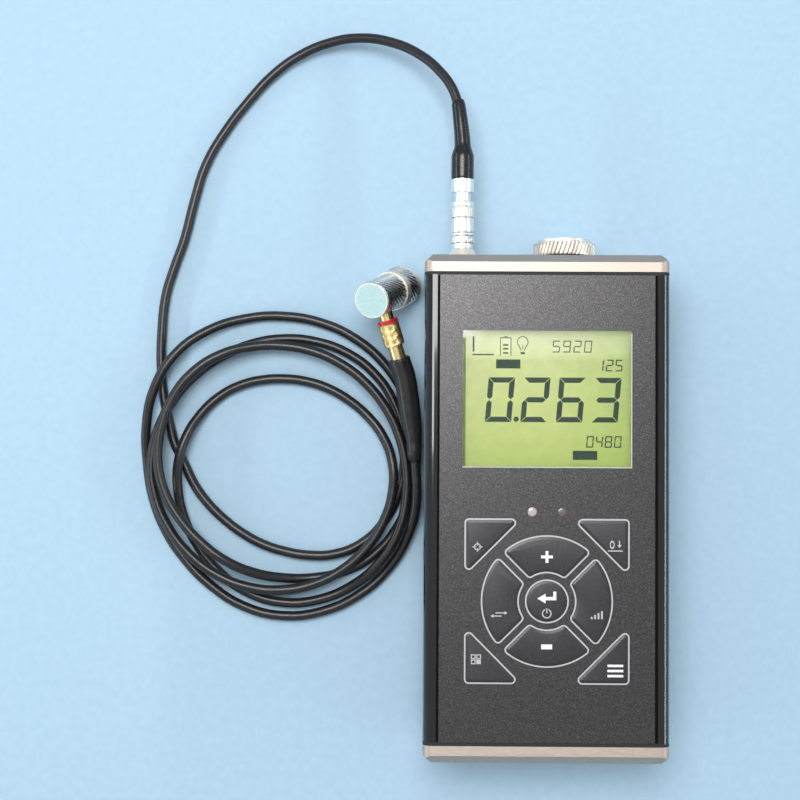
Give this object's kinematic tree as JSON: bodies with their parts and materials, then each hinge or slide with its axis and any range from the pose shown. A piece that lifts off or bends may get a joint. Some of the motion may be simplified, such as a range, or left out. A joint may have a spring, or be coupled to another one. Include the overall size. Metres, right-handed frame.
{
  "type": "ultrasonic thickness gauge",
  "caption": "Hand-held ultrasonic thickness gauge: black extruded case with display and membrane keys, knurled battery cap, coiled lead and small contact probe.",
  "frame": {"origin": "centre of the case's back face, on which the gauge lies", "axes": "+Z out of the display, +Y along the case towards the end with the probe socket, +X to the right as the display is read"},
  "size_m": [0.1421, 0.1958, 0.0315],
  "materials": {
    "black_anodised": "gloss black anodised extrusion",
    "nickel_plated": "nickel plated, fine turned and milled",
    "bright_nickel": "nickel plated brass",
    "gasket_rubber": "matt",
    "screw_steel": "plain",
    "overlay_film": "printed metallic charcoal film",
    "key_film": "printed embossed film",
    "grey_plastic": "die cut film",
    "window_clear": "clear polycarbonate",
    "lcd_green": "lit liquid crystal cell",
    "light_guide": "clear acrylic",
    "black_plastic": "moulded",
    "lamp_lens": "diffused epoxy",
    "lamp_lens_dim": "tinted epoxy",
    "board_green": "solder mask on glass epoxy",
    "tin_plate": "tinned",
    "cell_can": "sleeved steel can",
    "red_wire": "pvc",
    "black_wire": "pvc",
    "white_plastic": "white, turned or printed",
    "cord_pvc": "satin black pvc",
    "relief_rubber": "black sleeve",
    "gold_plate": "gold plated brass",
    "red_ring": "moulded",
    "probe_steel": "knurled stainless",
    "collar_steel": "polished stainless",
    "pale_disc": "satin enamel",
    "amber_plastic": "polished polystyrene",
    "ceramic": "silvered piezo ceramic",
    "filled_epoxy": "tungsten filled epoxy"
  },
  "bodies": {
    "root": {"housing": "black_anodised", "top_end_cap": "nickel_plated", "bottom_end_cap": "nickel_plated", "top_gasket": "gasket_rubber", "bottom_gasket": "gasket_rubber", "top_cap_screws": "screw_steel", "bottom_cap_screws": "screw_steel", "keypad_overlay": "overlay_film", "keypad_spacer": "grey_plastic", "keypad_circuit": "grey_plastic", "tactile_domes": "tin_plate", "display_window": "window_clear", "lcd_glass": "lcd_green", "lcd_backlight": "light_guide", "lcd_frame": "black_plastic", "zebra_strips": "gasket_rubber", "led_left": "lamp_lens", "led_right": "lamp_lens_dim", "main_board": "board_green", "board_chips": "black_plastic", "signal_shield": "tin_plate", "battery_tube": "black_plastic", "battery_outer": "cell_can", "battery_inner": "cell_can", "battery_spring": "tin_plate", "battery_lead": "red_wire", "probe_socket": "bright_nickel", "socket_nut": "bright_nickel", "socket_insulator": "white_plastic", "signal_lead": "black_wire", "plug_body": "bright_nickel", "plug_collet_nut": "bright_nickel", "plug_relief": "relief_rubber", "cord_lead": "cord_pvc", "cord_coil": "cord_pvc", "probe_boot": "relief_rubber", "connector_body": "gold_plate", "probe_jack": "gold_plate", "probe_case": "probe_steel", "probe_disc": "pale_disc", "probe_collar": "collar_steel", "delay_line": "amber_plastic", "probe_crystal": "ceramic", "probe_backing": "filled_epoxy"},
    "key_plus": {"key_plus": "key_film"},
    "key_minus": {"key_minus": "key_film"},
    "key_scan": {"key_scan": "key_film"},
    "key_gain": {"key_gain": "key_film"},
    "key_enter": {"key_enter": "key_film"},
    "key_target": {"key_target": "key_film"},
    "key_zero": {"key_zero": "key_film"},
    "key_mode": {"key_mode": "key_film"},
    "key_menu": {"key_menu": "key_film"},
    "battery_contact": {"battery_contact": "gold_plate", "battery_cap_seal": "gasket_rubber"},
    "battery_cap": {"battery_cap": "nickel_plated"},
    "plug_sleeve": {"plug_sleeve": "bright_nickel"},
    "connector_nut": {"connector_nut": "gold_plate", "connector_ring": "red_ring"},
    "delay_ring": {"delay_ring": "probe_steel"}
  },
  "joints": [
    {"name": "key_plus_press", "type": "slide", "parent": "root", "child": "key_plus", "axis": [0, 0, -1], "range_m": [0, 0.00025], "stiffness_N_per_m": 2000},
    {"name": "key_minus_press", "type": "slide", "parent": "root", "child": "key_minus", "axis": [0, 0, -1], "range_m": [0, 0.00025], "stiffness_N_per_m": 2000},
    {"name": "key_scan_press", "type": "slide", "parent": "root", "child": "key_scan", "axis": [0, 0, -1], "range_m": [0, 0.00025], "stiffness_N_per_m": 2000},
    {"name": "key_gain_press", "type": "slide", "parent": "root", "child": "key_gain", "axis": [0, 0, -1], "range_m": [0, 0.00025], "stiffness_N_per_m": 2000},
    {"name": "key_enter_press", "type": "slide", "parent": "root", "child": "key_enter", "axis": [0, 0, -1], "range_m": [0, 0.00025], "stiffness_N_per_m": 2000},
    {"name": "key_target_press", "type": "slide", "parent": "root", "child": "key_target", "axis": [0, 0, -1], "range_m": [0, 0.00025], "stiffness_N_per_m": 2000},
    {"name": "key_zero_press", "type": "slide", "parent": "root", "child": "key_zero", "axis": [0, 0, -1], "range_m": [0, 0.00025], "stiffness_N_per_m": 2000},
    {"name": "key_mode_press", "type": "slide", "parent": "root", "child": "key_mode", "axis": [0, 0, -1], "range_m": [0, 0.00025], "stiffness_N_per_m": 2000},
    {"name": "key_menu_press", "type": "slide", "parent": "root", "child": "key_menu", "axis": [0, 0, -1], "range_m": [0, 0.00025], "stiffness_N_per_m": 2000},
    {"name": "battery_cap_out", "type": "slide", "parent": "root", "child": "battery_contact", "axis": [0, 1, 0], "range_m": [0, 0.003]},
    {"name": "battery_cap_turn", "type": "hinge", "parent": "battery_contact", "child": "battery_cap", "pos_m": [0.0063, 0.068, 0.0114], "axis": [0, 1, 0], "range_deg": [0, 1080]},
    {"name": "plug_sleeve_pull", "type": "slide", "parent": "root", "child": "plug_sleeve", "axis": [0, 1, 0], "range_m": [0, 0.0012], "stiffness_N_per_m": 1500},
    {"name": "connector_nut_turn", "type": "hinge", "parent": "root", "child": "connector_nut", "pos_m": [-0.04058, 0.0459, 0.014], "axis": [0.2876, -0.9394, -0.1867], "continuous": true},
    {"name": "delay_ring_turn", "type": "hinge", "parent": "root", "child": "delay_ring", "pos_m": [-0.03753, 0.06055, 0.0023], "axis": [-0.3901, -0.2929, 0.8729], "range_deg": [-180, 0]}
  ],
  "couplings": [
    {"joint": "battery_cap_out", "follows": "battery_cap_turn", "m_per_rad": 0.00015915}
  ]
}
